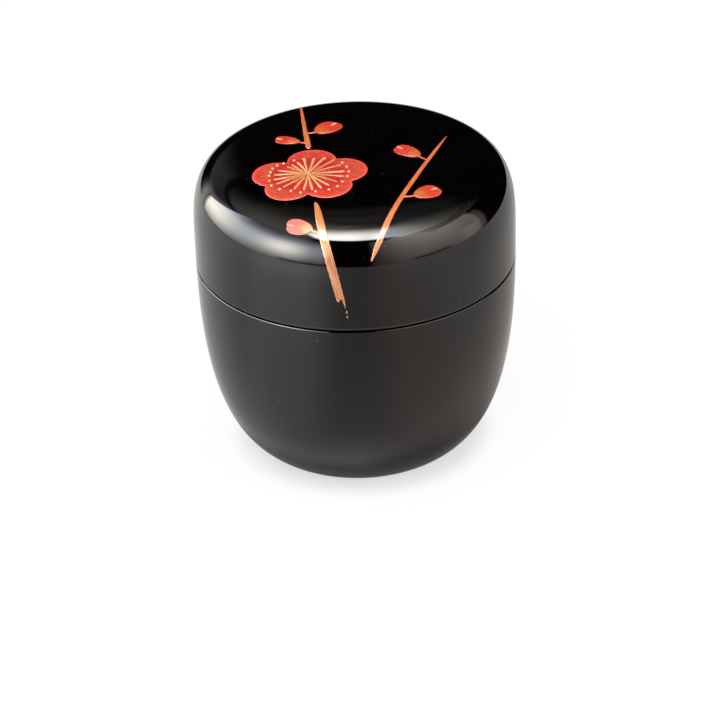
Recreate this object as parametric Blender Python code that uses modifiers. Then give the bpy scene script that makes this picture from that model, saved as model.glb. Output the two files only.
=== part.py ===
"""A round lacquer tea caddy: a turned body, a turned lid that drops over the body's standing rim,
and a spray of plum in raised lacquer that lies on the lid.

Units are metres, +Z is up, and the origin is the middle of the plane that the foot stands on.
"""

import math

import bmesh
import bpy
import numpy as np

# Overall form
WIDEST_RADIUS = 0.0330
BODY_HEIGHT = 0.0424
LID_HEIGHT = 0.0234
WIDEST_ABOVE_SEAM = 0.0039

# Outer curve: a larger exponent is a squarer shoulder
LID_CROWN = 0.0010
LID_SIDE_EXPONENT = 7.7
LID_TOP_EXPONENT = 4.1
BELLY_SIDE_EXPONENT = 4.4
BELLY_FOOT_EXPONENT = 2.57

# Foot
FOOT_RADIUS = 0.0198
FOOT_RING_WIDTH = 0.0025
FOOT_RECESS = 0.0010
FOOT_EDGE = 0.0003

# Seam and the fit of the lid on the rim
LID_EDGE_WALL = 0.0014
RIM_WALL = 0.0013
RIM_HEIGHT = 0.0065
FIT_GAP = 0.0003
SEAM_GAP = 0.0003
HAIRLINE = 0.00025
BORE_LEAD_IN = 0.0003
RIM_HEADROOM = 0.0010

# Hollows
FLOOR_WALL = 0.0035
LID_TOP_WALL = 0.0024
BODY_HOLLOW_EXPONENTS = (5.0, 3.0)
LID_HOLLOW_EXPONENTS = (6.0, 3.4)

# Painted spray: layers of raised lacquer, drawn flat and laid over the lid
COAT_GAP = 0.00012
COAT_THICKNESS = 0.00015
STALK_GAP = 0.0003
BLOSSOM_CENTRE = (-0.00897, -0.0095)
STAMEN_ROOT = 0.0021
STAMEN_TIP_WIDTH = 0.00042
STALK_WIDTH = 0.0005
EGG_FULLNESS = 0.9
LOWER_BRANCH_TO_EDGE = 0.0047

# Fineness of the facets
TURNED_SIDES = 64
FINE_STEPS = 3000
LID_OUTER_POINTS = 20
BODY_OUTER_POINTS = 18
HOLLOW_POINTS = 12
ARC_POINTS = 4
PETAL_POINTS = 80
EGG_POINTS = 12
STROKE_POINTS = 16
DRAWING_GRID = 0.0021
MERGE_DISTANCE = 0.00001
GRID_TOLERANCE = 0.000001

SHARP_ANGLE = math.radians(30)

# Each petal of the blossom: direction in degrees, distance of its middle, its radius
PETALS = (
    (83, 0.0057, 0.0050),
    (11, 0.0070, 0.0050),
    (-52, 0.0061, 0.0050),
    (-128, 0.0062, 0.0049),
    (173, 0.0065, 0.0049),
)

# Each filament of the stamens: direction in degrees, reach from the blossom's middle
FILAMENTS = (
    (4, 0.0073),
    (27, 0.0073),
    (47, 0.0077),
    (64, 0.0074),
    (81, 0.0068),
    (97, 0.0068),
    (113, 0.0056),
    (127, 0.0056),
    (141, 0.0054),
    (161, 0.0065),
    (178, 0.0068),
    (194, 0.0071),
    (209, 0.0071),
    (225, 0.0070),
    (245, 0.0066),
    (262, 0.0066),
    (277, 0.0067),
    (292, 0.0067),
    (308, 0.0066),
    (326, 0.0068),
    (347, 0.0073),
)

# Each branch: start and end on the flat drawing, and its widths at shares of its length
UPPER_BRANCH = {
    "start": (-0.0108, 0.0265),
    "end": (-0.0089, 0.0020),
    "widths": ((0.0, 0.0003), (0.15, 0.0006), (0.5, 0.0009), (0.9, 0.0012), (1.0, 0.0008)),
}
RIGHT_BRANCH = {
    "start": (0.0194, 0.0067),
    "end": (0.0033, -0.0355),
    "widths": ((0.0, 0.0002), (0.12, 0.0007), (0.7, 0.0010), (0.88, 0.0013), (1.0, 0.0005)),
}
LOWER_BRANCH_START = (-0.0076, -0.0206)
LOWER_BRANCH_END_DIRECTION = math.radians(-95.1)
LOWER_BRANCH_WIDTHS = ((0.0, 0.0004), (0.04, 0.0009), (0.2, 0.0015), (0.6, 0.0020), (1.0, 0.0021))

# The lower branch's split end, round from its long prong over the notch to its short one:
# share of the branch's length, and share of its half width to the left of its middle
SPLIT_END = ((1.0, 1.2), (1.0, 0.85), (0.912, 0.1), (0.932, -0.5), (0.9, -0.9))

# Each bud: share of its branch's length where the stalk leaves, side of the branch, stalk length
# and direction, bud length, direction and width, with directions in degrees
UPPER_BUDS = {
    "upper_right_bud": (0.703, 1, 0.0014, -8, 0.0063, 45, 0.0051),
    "upper_left_bud": (0.893, -1, 0.0011, 142, 0.0053, 158, 0.0035),
}
RIGHT_BUDS = {
    "right_upper_bud": (0.268, -1, 0.0019, 121, 0.0063, 138, 0.0041),
    "right_lower_bud": (0.618, 1, 0.0018, 12, 0.0059, 33, 0.0042),
}
LOWER_BUDS = {
    "lower_bud": (0.345, -1, 0.0014, 134, 0.0056, 156, 0.0034),
}

# Colours as red, green and blue in linear light
BLACK_LACQUER = {"name": "black_lacquer", "colour": (0.006, 0.005, 0.005), "roughness": 0.08}
VERMILION_LACQUER = {"name": "vermilion_lacquer", "colour": (0.80, 0.10, 0.055), "roughness": 0.30}
GOLD_LACQUER = {"name": "gold_lacquer", "colour": (0.87, 0.36, 0.14), "roughness": 0.38}


def clear_scene():
    for scene_object in list(bpy.data.objects):
        bpy.data.objects.remove(scene_object, do_unlink=True)


def new_collection(name):
    collection = bpy.data.collections.new(name)
    bpy.context.scene.collection.children.link(collection)
    return collection


def lacquer(name, colour, roughness):
    """A glossy coat of one colour."""
    material = bpy.data.materials.new(name)
    material.use_nodes = True
    shader = material.node_tree.nodes["Principled BSDF"]
    shader.inputs["Base Color"].default_value = (*colour, 1.0)
    shader.inputs["Roughness"].default_value = roughness
    shader.inputs["Metallic"].default_value = 0.0
    material.diffuse_color = (*colour, 1.0)
    return material


def evaluated_mesh(source):
    """The mesh of an object with its modifiers applied."""
    graph = bpy.context.evaluated_depsgraph_get()
    return bpy.data.meshes.new_from_object(source.evaluated_get(graph))


def add_part(name, mesh, material, collection, parent=None):
    mesh.name = name
    mesh.materials.clear()
    mesh.materials.append(material)
    mesh.shade_smooth()
    mesh.set_sharp_from_angle(angle=SHARP_ANGLE)
    part = bpy.data.objects.new(name, mesh)
    part.parent = parent
    collection.objects.link(part)
    return part


def rounded_curve(radius, height, side_exponent, end_exponent, crown=0.0):
    """Fine points of a quarter outline, from its end on the axis out to its widest place.

    They lie on (r / radius) ** side_exponent + (h / height) ** end_exponent = 1, where h is
    counted from the widest place, with a gentle crown added over the whole end.
    """
    angles = np.linspace(math.pi / 2, 0.0, FINE_STEPS)
    radii = radius * np.cos(angles) ** (2 / side_exponent)
    radii[0] = 0.0
    heights = height * np.sin(angles) ** (2 / end_exponent)
    return np.column_stack([radii, heights + crown * (1 - (radii / radius) ** 2)])


def sparse(curve, count):
    """About count points of a fine curve, which lie closer together where it turns."""
    steps = np.diff(curve, axis=0)
    lengths = np.hypot(steps[:, 0], steps[:, 1])
    headings = np.unwrap(np.arctan2(steps[:, 1], steps[:, 0]))
    turns = np.abs(np.diff(headings, prepend=headings[0]))
    share = np.cumsum(lengths / lengths.sum() + turns / turns.sum())
    share = np.concatenate([[0.0], share])
    wanted = np.linspace(0.0, share[-1], count)
    picks = np.round(np.interp(wanted, share, np.arange(len(curve)))).astype(int)
    return curve[np.unique(picks)]


def arc(centre, radius, start, end, count=ARC_POINTS):
    """Points of a round corner, with its angles in degrees."""
    angles = np.radians(np.linspace(start, end, count))
    middle = np.asarray(centre)
    return middle + radius * np.column_stack([np.cos(angles), np.sin(angles)])


def belly_depth():
    """How far below the widest place the belly's curve would close on the axis."""
    share = 1 - (FOOT_RADIUS / WIDEST_RADIUS) ** BELLY_SIDE_EXPONENT
    return (BODY_HEIGHT + WIDEST_ABOVE_SEAM) / share ** (1 / BELLY_FOOT_EXPONENT)


def belly_radius(drop):
    """Outer radius at this drop below the widest place."""
    share = 1 - (drop / belly_depth()) ** BELLY_FOOT_EXPONENT
    return WIDEST_RADIUS * share ** (1 / BELLY_SIDE_EXPONENT)


def belly_curve(first_drop, last_drop):
    """Fine points of the outer side between two drops below the widest place, top to bottom."""
    drops = np.linspace(first_drop, last_drop, FINE_STEPS)
    return np.column_stack([belly_radius(drops), -drops])


def lid_bore_radius():
    return belly_radius(WIDEST_ABOVE_SEAM) - LID_EDGE_WALL


def rim_outer_radius():
    return lid_bore_radius() - FIT_GAP


def lid_outer_curve():
    """Fine points of the lid's outside, from the middle of its top to its edge. Height 0 is the seam."""
    shoulder = LID_HEIGHT - WIDEST_ABOVE_SEAM - LID_CROWN
    top = rounded_curve(WIDEST_RADIUS, shoulder, LID_SIDE_EXPONENT, LID_TOP_EXPONENT, LID_CROWN)
    side = belly_curve(0.0, WIDEST_ABOVE_SEAM - SEAM_GAP - HAIRLINE)
    return np.vstack([top, side[1:]]) + (0.0, WIDEST_ABOVE_SEAM)


def lid_profile():
    """Half section of the lid: down its outside, round the edge and up inside to the axis."""
    outside = sparse(lid_outer_curve(), LID_OUTER_POINTS)
    bore = lid_bore_radius()
    edge = np.array(
        [
            (outside[-1, 0] - HAIRLINE, SEAM_GAP),
            (bore + BORE_LEAD_IN, SEAM_GAP),
            (bore, SEAM_GAP + BORE_LEAD_IN),
        ]
    )
    bore_depth = RIM_HEIGHT + RIM_HEADROOM
    hollow_height = LID_HEIGHT - LID_TOP_WALL - LID_CROWN - bore_depth
    hollow = rounded_curve(bore, hollow_height, *LID_HOLLOW_EXPONENTS, crown=LID_CROWN)
    hollow = sparse(hollow, HOLLOW_POINTS)[::-1] + (0.0, bore_depth)
    return np.vstack([outside, edge, hollow])


def body_profile():
    """Half section of the body: up inside, over the rim, down its outside and across the foot."""
    rim_outer = rim_outer_radius()
    rim_inner = rim_outer - RIM_WALL
    floor = FOOT_RECESS + FLOOR_WALL
    hollow = rounded_curve(rim_inner, BODY_HEIGHT - floor, *BODY_HOLLOW_EXPONENTS)
    hollow = sparse(hollow, HOLLOW_POINTS) * (1.0, -1.0) + (0.0, BODY_HEIGHT)
    rim_middle = ((rim_outer + rim_inner) / 2, BODY_HEIGHT + RIM_HEIGHT - RIM_WALL / 2)
    rim_top = arc(rim_middle, RIM_WALL / 2, 180, 0, 2 * ARC_POINTS)

    widest = BODY_HEIGHT + WIDEST_ABOVE_SEAM
    side = belly_curve(WIDEST_ABOVE_SEAM + HAIRLINE, widest - FOOT_EDGE)
    side = sparse(side, BODY_OUTER_POINTS) + (0.0, widest)
    ledge = np.array([(rim_outer, BODY_HEIGHT), (side[0, 0] - HAIRLINE, BODY_HEIGHT)])

    ring_inner = FOOT_RADIUS - FOOT_RING_WIDTH
    ring = np.array([(FOOT_RADIUS, 0.0)])
    recess = arc((ring_inner - FOOT_RECESS, 0.0), FOOT_RECESS, 0, 90)
    underside = np.array([(0.0, FOOT_RECESS)])
    return np.vstack([hollow, rim_top, ledge, side, ring, recess, underside])


def turned(name, profile, material, collection, parent=None):
    """A solid of revolution from its half section."""
    mesh = bpy.data.meshes.new(name + "_profile")
    corners = [(radius, 0.0, height) for radius, height in profile]
    edges = [(index, index + 1) for index in range(len(corners) - 1)]
    mesh.from_pydata(corners, edges, [])
    blank = bpy.data.objects.new(name + "_profile", mesh)
    collection.objects.link(blank)
    screw = blank.modifiers.new("turn", "SCREW")
    screw.steps = TURNED_SIDES
    screw.render_steps = TURNED_SIDES
    screw.use_merge_vertices = True
    screw.merge_threshold = MERGE_DISTANCE
    solid = evaluated_mesh(blank)
    bpy.data.objects.remove(blank, do_unlink=True)
    return add_part(name, solid, material, collection, parent)


def lid_surface():
    """Distance along the lid's outside from the middle of its top, with radius, height and normal."""
    curve = lid_outer_curve()
    steps = np.diff(curve, axis=0)
    reach = np.concatenate([[0.0], np.cumsum(np.hypot(steps[:, 0], steps[:, 1]))])
    along = np.gradient(curve, reach, axis=0)
    along /= np.hypot(along[:, 0], along[:, 1])[:, None]
    return {"reach": reach, "curve": curve, "normal": np.column_stack([-along[:, 1], along[:, 0]])}


def on_lid(surface, x, y, height):
    """Where a point of the flat drawing comes to lie on the lid, this high over its surface.

    The drawing's distance from the middle is kept along the surface, and its direction is kept too.
    """
    reach = math.hypot(x, y)
    direction = math.atan2(y, x)
    radius, level, out, up = (
        np.interp(reach, surface["reach"], values)
        for values in (*surface["curve"].T, *surface["normal"].T)
    )
    radius += height * out
    return (radius * math.cos(direction), radius * math.sin(direction), level + height * up)


def flat_face(outline, collection):
    """The faces inside a closed outline, filled by a two-dimensional curve."""
    curve = bpy.data.curves.new("outline", "CURVE")
    curve.dimensions = "2D"
    curve.fill_mode = "BOTH"
    spline = curve.splines.new("POLY")
    spline.points.add(len(outline) - 1)
    for point, (x, y) in zip(spline.points, outline):
        point.co = (x, y, 0.0, 1.0)
    spline.use_cyclic_u = True
    drawn = bpy.data.objects.new("outline", curve)
    collection.objects.link(drawn)
    faces = evaluated_mesh(drawn)
    bpy.data.objects.remove(drawn, do_unlink=True)
    return faces


def cut_to_grid(form):
    """Cuts flat faces along a square grid, so that they can bend."""
    for axis in (0, 1):
        places = [vertex.co[axis] for vertex in form.verts]
        first = math.ceil(min(places) / DRAWING_GRID)
        last = math.floor(max(places) / DRAWING_GRID)
        across = [0.0, 0.0, 0.0]
        across[axis] = 1.0
        for line in range(first, last + 1):
            place = [0.0, 0.0, 0.0]
            place[axis] = line * DRAWING_GRID
            bmesh.ops.bisect_plane(
                form,
                geom=form.verts[:] + form.edges[:] + form.faces[:],
                dist=GRID_TOLERANCE,
                plane_co=place,
                plane_no=across,
            )


def painted(name, outline, material, collection, lid, surface, layer=0):
    """One stroke of raised lacquer: its flat outline laid over the lid and given its thickness."""
    mesh = flat_face(outline, collection)
    form = bmesh.new()
    form.from_mesh(mesh)
    bmesh.ops.remove_doubles(form, verts=form.verts, dist=MERGE_DISTANCE)
    cut_to_grid(form)
    bmesh.ops.remove_doubles(form, verts=form.verts, dist=MERGE_DISTANCE)
    bmesh.ops.triangulate(form, faces=form.faces)
    form.normal_update()
    downward = [face for face in form.faces if face.normal.z < 0]
    bmesh.ops.reverse_faces(form, faces=downward)
    height = COAT_GAP + layer * (COAT_GAP + COAT_THICKNESS)
    for vertex in form.verts:
        vertex.co = on_lid(surface, vertex.co.x, vertex.co.y, height)
    form.to_mesh(mesh)
    form.free()
    sheet = bpy.data.objects.new(name + "_sheet", mesh)
    collection.objects.link(sheet)
    thicken = sheet.modifiers.new("coat", "SOLIDIFY")
    thicken.thickness = COAT_THICKNESS
    thicken.offset = 1.0
    solid = evaluated_mesh(sheet)
    bpy.data.objects.remove(sheet, do_unlink=True)
    return add_part(name, solid, material, collection, lid)


def blossom_outline():
    """The outer line of five petal circles that share a middle."""
    outline = []
    for direction in np.linspace(0.0, 2 * math.pi, PETAL_POINTS, endpoint=False):
        reaches = []
        for petal_direction, distance, radius in PETALS:
            turn = direction - math.radians(petal_direction)
            beside = distance * math.sin(turn)
            if abs(beside) < radius:
                reaches.append(distance * math.cos(turn) + math.sqrt(radius**2 - beside**2))
        reach = max(reaches)
        outline.append(
            (
                BLOSSOM_CENTRE[0] + reach * math.cos(direction),
                BLOSSOM_CENTRE[1] + reach * math.sin(direction),
            )
        )
    return outline


def heading(degrees):
    return np.array([math.cos(math.radians(degrees)), math.sin(math.radians(degrees))])


def stamen_outline():
    """A star of narrow filaments round the middle of the blossom, with a root between each two."""
    middle = np.asarray(BLOSSOM_CENTRE)
    outline = []
    before = FILAMENTS[-1][0] - 360
    for degrees, reach in FILAMENTS:
        outline.append(middle + STAMEN_ROOT * heading((before + degrees) / 2))
        half_tip = STAMEN_TIP_WIDTH / 2 * heading(degrees + 90)
        outline.append(middle + reach * heading(degrees) - half_tip)
        outline.append(middle + reach * heading(degrees) + half_tip)
        before = degrees
    return outline


def width_at(widths, share):
    return float(np.interp(share, [stop for stop, _ in widths], [width for _, width in widths]))


def branch_point(branch, share, side, clearance=0.0):
    """A point on one side of a branch, or clear of that side."""
    start = np.asarray(branch["start"])
    along = np.asarray(branch["end"]) - start
    left = np.array([-along[1], along[0]]) / math.hypot(*along)
    half = width_at(branch["widths"], share) / 2 + clearance
    return start + share * along + side * half * left


def branch_outline(branch, split_end=()):
    """A straight tapered stroke, round from its start. A split end takes the place of its blunt one."""
    shares = np.linspace(0.0, 1.0, STROKE_POINTS)
    if split_end:
        shares = shares[shares < min(share for share, _ in split_end)]
    left = [branch_point(branch, share, 1) for share in shares]
    right = [branch_point(branch, share, -1) for share in shares]
    end = [branch_point(branch, share, side) for share, side in split_end]
    return [*left, *end, *right[::-1]]


def bud_outline(branch, share, side, stalk, stalk_degrees, length, degrees, width):
    """A bud on its stalk: the stalk's two sides, which open into an egg with its wide end outwards."""
    foot = branch_point(branch, share, side, STALK_GAP)
    base = foot + stalk * heading(stalk_degrees)
    stalk_left = heading(stalk_degrees + 90) * STALK_WIDTH / 2
    left = heading(degrees + 90)
    one_side = []
    other_side = []
    for turn in np.linspace(0.0, math.pi, EGG_POINTS)[:-1]:
        place = ((1 - math.cos(turn)) / 2) ** EGG_FULLNESS
        half = max(width / 2 * math.sin(turn), STALK_WIDTH / 2)
        middle = base + place * length * heading(degrees)
        one_side.append(middle + half * left)
        other_side.append(middle - half * left)
    tip = base + length * heading(degrees)
    return [foot + stalk_left, *one_side, tip, *other_side[::-1], foot - stalk_left]


def lower_branch(surface):
    """The lower branch runs down over the shoulder and stops short of the lid's edge."""
    end_reach = surface["reach"][-1] - LOWER_BRANCH_TO_EDGE
    end = (
        end_reach * math.cos(LOWER_BRANCH_END_DIRECTION),
        end_reach * math.sin(LOWER_BRANCH_END_DIRECTION),
    )
    return {"start": LOWER_BRANCH_START, "end": end, "widths": LOWER_BRANCH_WIDTHS}


def build():
    clear_scene()
    collection = new_collection("lacquer_tea_caddy")
    black = lacquer(**BLACK_LACQUER)
    vermilion = lacquer(**VERMILION_LACQUER)
    gold = lacquer(**GOLD_LACQUER)

    turned("body", body_profile(), black, collection)

    lift = bpy.data.objects.new("lid_lift", None)
    lift.location = (0.0, 0.0, BODY_HEIGHT)
    collection.objects.link(lift)
    turned("lid", lid_profile(), black, collection, lift)

    surface = lid_surface()
    lay = {"collection": collection, "lid": lift, "surface": surface}
    painted("plum_blossom", blossom_outline(), vermilion, **lay)
    painted("blossom_stamens", stamen_outline(), gold, layer=1, **lay)
    low_branch = lower_branch(surface)
    painted("upper_branch", branch_outline(UPPER_BRANCH), gold, **lay)
    painted("right_branch", branch_outline(RIGHT_BRANCH), gold, **lay)
    painted("lower_branch", branch_outline(low_branch, SPLIT_END), gold, **lay)
    for branch, buds in (
        (UPPER_BRANCH, UPPER_BUDS),
        (RIGHT_BRANCH, RIGHT_BUDS),
        (low_branch, LOWER_BUDS),
    ):
        for name, bud in buds.items():
            painted(name, bud_outline(branch, *bud), vermilion, **lay)


build()
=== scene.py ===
# %% [markdown]
# # A lacquer tea caddy
# This lesson dresses the measured model of a small round tea caddy. The real one is two turned
# pieces of wood, a body and a lid, under many coats of black lacquer that are polished until they
# act as a mirror. A spray of plum is painted on the lid in raised red and gold lacquer.
# The measured model is loaded first and is never moved. Every new piece is made around it.

# %% Load the measured model
import math

import bpy
import numpy as np
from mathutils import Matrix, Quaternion, Vector


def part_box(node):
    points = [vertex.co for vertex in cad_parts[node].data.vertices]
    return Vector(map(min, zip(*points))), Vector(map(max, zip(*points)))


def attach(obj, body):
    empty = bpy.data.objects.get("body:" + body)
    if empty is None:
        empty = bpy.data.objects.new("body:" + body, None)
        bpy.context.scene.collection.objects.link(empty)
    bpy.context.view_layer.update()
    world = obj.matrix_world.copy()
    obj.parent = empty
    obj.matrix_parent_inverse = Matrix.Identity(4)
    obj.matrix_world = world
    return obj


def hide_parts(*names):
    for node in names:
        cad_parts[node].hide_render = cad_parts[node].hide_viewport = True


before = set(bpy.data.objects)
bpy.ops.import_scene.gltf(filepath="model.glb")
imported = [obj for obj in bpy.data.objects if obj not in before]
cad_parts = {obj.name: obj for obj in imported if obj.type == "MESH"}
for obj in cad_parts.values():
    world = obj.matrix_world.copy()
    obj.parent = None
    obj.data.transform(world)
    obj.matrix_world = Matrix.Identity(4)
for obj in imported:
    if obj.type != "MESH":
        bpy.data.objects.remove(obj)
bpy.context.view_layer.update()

MM = 0.001
print("nodes:", ", ".join(sorted(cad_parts)))

# %% [markdown]
# ## The sizes that the looks share with the model
# The finely turned pieces must stand exactly where the plain ones stand. The widest radius, the seam
# and the top are read from the model. What a box can't tell, such as how square the shoulder is, is
# given here as the exponents of one smooth curve.

# %% Sizes
lid_low, lid_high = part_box("lid")
body_low, body_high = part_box("body")
SEAM_GAP = 0.3 * MM
SEAM = lid_low.z - SEAM_GAP
WIDEST_RADIUS = lid_high.x
LID_HEIGHT = lid_high.z - SEAM
RIM_HEIGHT = body_high.z - SEAM
WIDEST_ABOVE_SEAM = 3.9 * MM
LID_CROWN = 1.0 * MM
LID_EXPONENTS = (7.7, 4.1)
BELLY_EXPONENTS = (4.4, 2.57)
FOOT_RADIUS = 19.8 * MM
print(f"seam {SEAM / MM:.2f} mm up, lid {LID_HEIGHT / MM:.2f} mm high")
print(f"widest radius {WIDEST_RADIUS / MM:.2f} mm")

# %% [markdown]
# ## The curve of the outside
# A turner cuts the outside of body and lid as one curve, and parts the two at the seam. Here the
# curve is a rounded square: across over radius, raised to one power, and height over depth, raised to
# another, add up to 1. A larger power gives a squarer shoulder. The lid's top adds a gentle crown.

# %% Outer curve
FINE_STEPS = 4000


def belly_depth():
    """How far below the widest place the lower curve would close on the axis."""
    side, foot = BELLY_EXPONENTS
    share = 1 - (FOOT_RADIUS / WIDEST_RADIUS) ** side
    return (SEAM + WIDEST_ABOVE_SEAM) / share ** (1 / foot)


def belly_radius(drop):
    """Outer radius at this drop below the widest place."""
    side, foot = BELLY_EXPONENTS
    return WIDEST_RADIUS * (1 - (drop / belly_depth()) ** foot) ** (1 / side)


def rounded_end(radius, height, exponents, crown=0.0):
    """A quarter outline, from its end on the axis out to its widest place at height 0."""
    angles = np.linspace(math.pi / 2, 0.0, FINE_STEPS)
    radii = radius * np.clip(np.cos(angles), 0.0, 1.0) ** (2 / exponents[0])
    radii[0] = 0.0
    heights = height * np.sin(angles) ** (2 / exponents[1])
    return np.column_stack([radii, heights + crown * (1 - (radii / radius) ** 2)])


def belly_side(first_drop, last_drop):
    """The outer side between two drops below the widest place, top to bottom."""
    drops = np.linspace(first_drop, last_drop, FINE_STEPS)
    return np.column_stack([belly_radius(drops), -drops])


WIDEST = SEAM + WIDEST_ABOVE_SEAM
shoulder = LID_HEIGHT - WIDEST_ABOVE_SEAM - LID_CROWN
lid_top_curve = rounded_end(WIDEST_RADIUS, shoulder, LID_EXPONENTS, LID_CROWN)
print(f"the lower curve would close {belly_depth() / MM:.1f} mm below the widest place")

# %% [markdown]
# ## Turning a piece
# A lathe makes a piece from one half section. In Blender a single corner is extruded along that half
# section, and the line is spun round the axis. A corner on the axis is spun onto itself, so the
# doubles are merged before the normals are turned outwards.

# %% Lathe
TURNED_SIDES = 256
WELD = 0.001 * MM
TURNED_SMOOTH = math.radians(28)


def select_only(*pieces):
    """Selects these pieces and no others. The first one is the active one."""
    bpy.ops.object.select_all(action="DESELECT")
    for piece in pieces:
        piece.select_set(True)
    bpy.context.view_layer.objects.active = pieces[0] if pieces else None


def named(name):
    """The piece that was made last, with its name."""
    bpy.context.object.name = name
    return bpy.context.object


def start_edit(piece):
    """Only this piece is selected, and all of it is selected in edit mode."""
    select_only(piece)
    bpy.ops.object.mode_set(mode="EDIT")
    bpy.ops.mesh.select_all(action="SELECT")


def end_edit():
    bpy.ops.object.mode_set(mode="OBJECT")


def set_down(piece):
    """Puts the piece's place, turn and size into its mesh, so that its object sits at the origin."""
    select_only(piece)
    bpy.ops.object.transform_apply(location=True, rotation=True, scale=True)


def spaced(curve, count):
    """Count points of a fine curve, which lie closer together where it turns."""
    steps = np.diff(curve, axis=0)
    lengths = np.hypot(steps[:, 0], steps[:, 1])
    headings = np.unwrap(np.arctan2(steps[:, 1], steps[:, 0]))
    turns = np.abs(np.diff(headings, prepend=headings[0]))
    share = np.concatenate([[0.0], np.cumsum(lengths / lengths.sum() + turns / turns.sum())])
    wanted = np.linspace(0.0, share[-1], count)
    picks = np.round(np.interp(wanted, share, np.arange(len(curve)))).astype(int)
    return curve[np.unique(picks)]


def round_corner(middle, radius, start, end, count):
    """Points of an arc between two angles in degrees."""
    angles = np.radians(np.linspace(start, end, count))
    return np.asarray(middle) + radius * np.column_stack([np.cos(angles), np.sin(angles)])


def turn_on_lathe(name, half_section):
    """A turned solid from its half section of radii and heights."""
    select_only()
    radius, height = half_section[0]
    bpy.ops.mesh.primitive_plane_add(size=MM, location=(radius, 0.0, height))
    piece = named(name)
    set_down(piece)
    start_edit(piece)
    bpy.ops.mesh.merge(type="CENTER")
    for step in np.diff(half_section, axis=0):
        move = {"value": (float(step[0]), 0.0, float(step[1]))}
        bpy.ops.mesh.extrude_vertices_move(TRANSFORM_OT_translate=move)
    bpy.ops.mesh.select_all(action="SELECT")
    bpy.ops.mesh.spin(
        steps=TURNED_SIDES, angle=2 * math.pi, center=(0.0, 0.0, 0.0), axis=(0.0, 0.0, 1.0)
    )
    bpy.ops.mesh.select_all(action="SELECT")
    bpy.ops.mesh.remove_doubles(threshold=WELD)
    bpy.ops.mesh.normals_make_consistent(inside=False)
    end_edit()
    bpy.ops.object.shade_smooth_by_angle(angle=TURNED_SMOOTH)
    return piece


# %% [markdown]
# ## The lid
# The lid drops over a thin rim that stands up from the body. Its edge is chamfered by a hair where it
# meets the body, so that the seam shows as one fine dark line. Inside it is hollowed to a thin
# wall with a straight bore for the rim.

# %% Turn the lid
EDGE_WALL = 1.4 * MM
UNDERCUT = (0.5 * MM, 0.22 * MM)
LEAD_IN = 0.3 * MM
RIM_HEADROOM = 1.0 * MM
LID_TOP_WALL = 2.4 * MM
LID_HOLLOW_EXPONENTS = (6.0, 3.4)
LID_OUTSIDE_POINTS = 120
HOLLOW_POINTS = 44

bore = belly_radius(WIDEST_ABOVE_SEAM) - EDGE_WALL
lid_outside = np.vstack(
    [lid_top_curve, belly_side(0.0, WIDEST_ABOVE_SEAM - SEAM_GAP - UNDERCUT[1])[1:]]
) + (0.0, WIDEST)
lid_edge_radius = lid_outside[-1, 0]
lid_edge = np.array(
    [
        (lid_edge_radius - UNDERCUT[0], SEAM + SEAM_GAP),
        (bore + LEAD_IN, SEAM + SEAM_GAP),
        (bore, SEAM + SEAM_GAP + LEAD_IN),
    ]
)
bore_depth = RIM_HEIGHT + RIM_HEADROOM
hollow_height = LID_HEIGHT - LID_TOP_WALL - LID_CROWN - bore_depth
lid_hollow = rounded_end(bore, hollow_height, LID_HOLLOW_EXPONENTS, LID_CROWN)
lid_hollow = spaced(lid_hollow, HOLLOW_POINTS)[::-1] + (0.0, SEAM + bore_depth)
lid_section = np.vstack([spaced(lid_outside, LID_OUTSIDE_POINTS), lid_edge, lid_hollow])
turned_lid = turn_on_lathe("turned_lid", lid_section)
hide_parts("lid")
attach(turned_lid, "cover")
print("lid corners:", len(turned_lid.data.vertices))

# %% [markdown]
# ## The body
# The body is one piece with its standing rim. It stands on a narrow foot ring, inside which the
# underside is hollowed by a millimetre, so that the caddy doesn't rock.

# %% Turn the body
FIT_GAP = 0.3 * MM
RIM_WALL = 1.3 * MM
FOOT_RING = 2.5 * MM
FOOT_RECESS = 1.0 * MM
FOOT_EDGE = 0.3 * MM
FLOOR_WALL = 3.5 * MM
BODY_HOLLOW_EXPONENTS = (5.0, 3.0)
BODY_OUTSIDE_POINTS = 110
LEDGE_BEVEL = (0.07 * MM, 0.13 * MM)

rim_outer = bore - FIT_GAP
rim_inner = rim_outer - RIM_WALL
floor_level = FOOT_RECESS + FLOOR_WALL
body_hollow = rounded_end(rim_inner, SEAM - floor_level, BODY_HOLLOW_EXPONENTS)
body_hollow = spaced(body_hollow, HOLLOW_POINTS) * (1.0, -1.0) + (0.0, SEAM)
rim_middle = ((rim_outer + rim_inner) / 2, SEAM + RIM_HEIGHT - RIM_WALL / 2)
rim_top = round_corner(rim_middle, RIM_WALL / 2, 180, 0, 13)
body_outside = belly_side(WIDEST_ABOVE_SEAM + LEDGE_BEVEL[1], WIDEST - FOOT_EDGE)
body_outside = spaced(body_outside, BODY_OUTSIDE_POINTS) + (0.0, WIDEST)
ledge_radius = body_outside[0, 0]
ledge = np.array([(rim_outer, SEAM), (ledge_radius - LEDGE_BEVEL[0], SEAM)])
foot = round_corner((FOOT_RADIUS - FOOT_EDGE, FOOT_EDGE), FOOT_EDGE, -20, -90, 5)
ring_inner = FOOT_RADIUS - FOOT_RING
recess = round_corner((ring_inner - FOOT_RECESS, 0.0), FOOT_RECESS, 0, 90, 8)
underside = np.array([(0.0, FOOT_RECESS)])
body_section = np.vstack([body_hollow, rim_top, ledge, body_outside, foot, recess, underside])
turned_body = turn_on_lathe("turned_body", body_section)
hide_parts("body")
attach(turned_body, "vessel")
print("body corners:", len(turned_body.data.vertices))

# %% [markdown]
# ## Bending a drawing over the lid
# The painter's lines run on from the flat top over the shoulder and down the side. To keep their
# lengths true, each stroke is first drawn flat, then every point keeps its direction from
# the middle of the lid, and its distance from the middle is measured along the surface.

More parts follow.
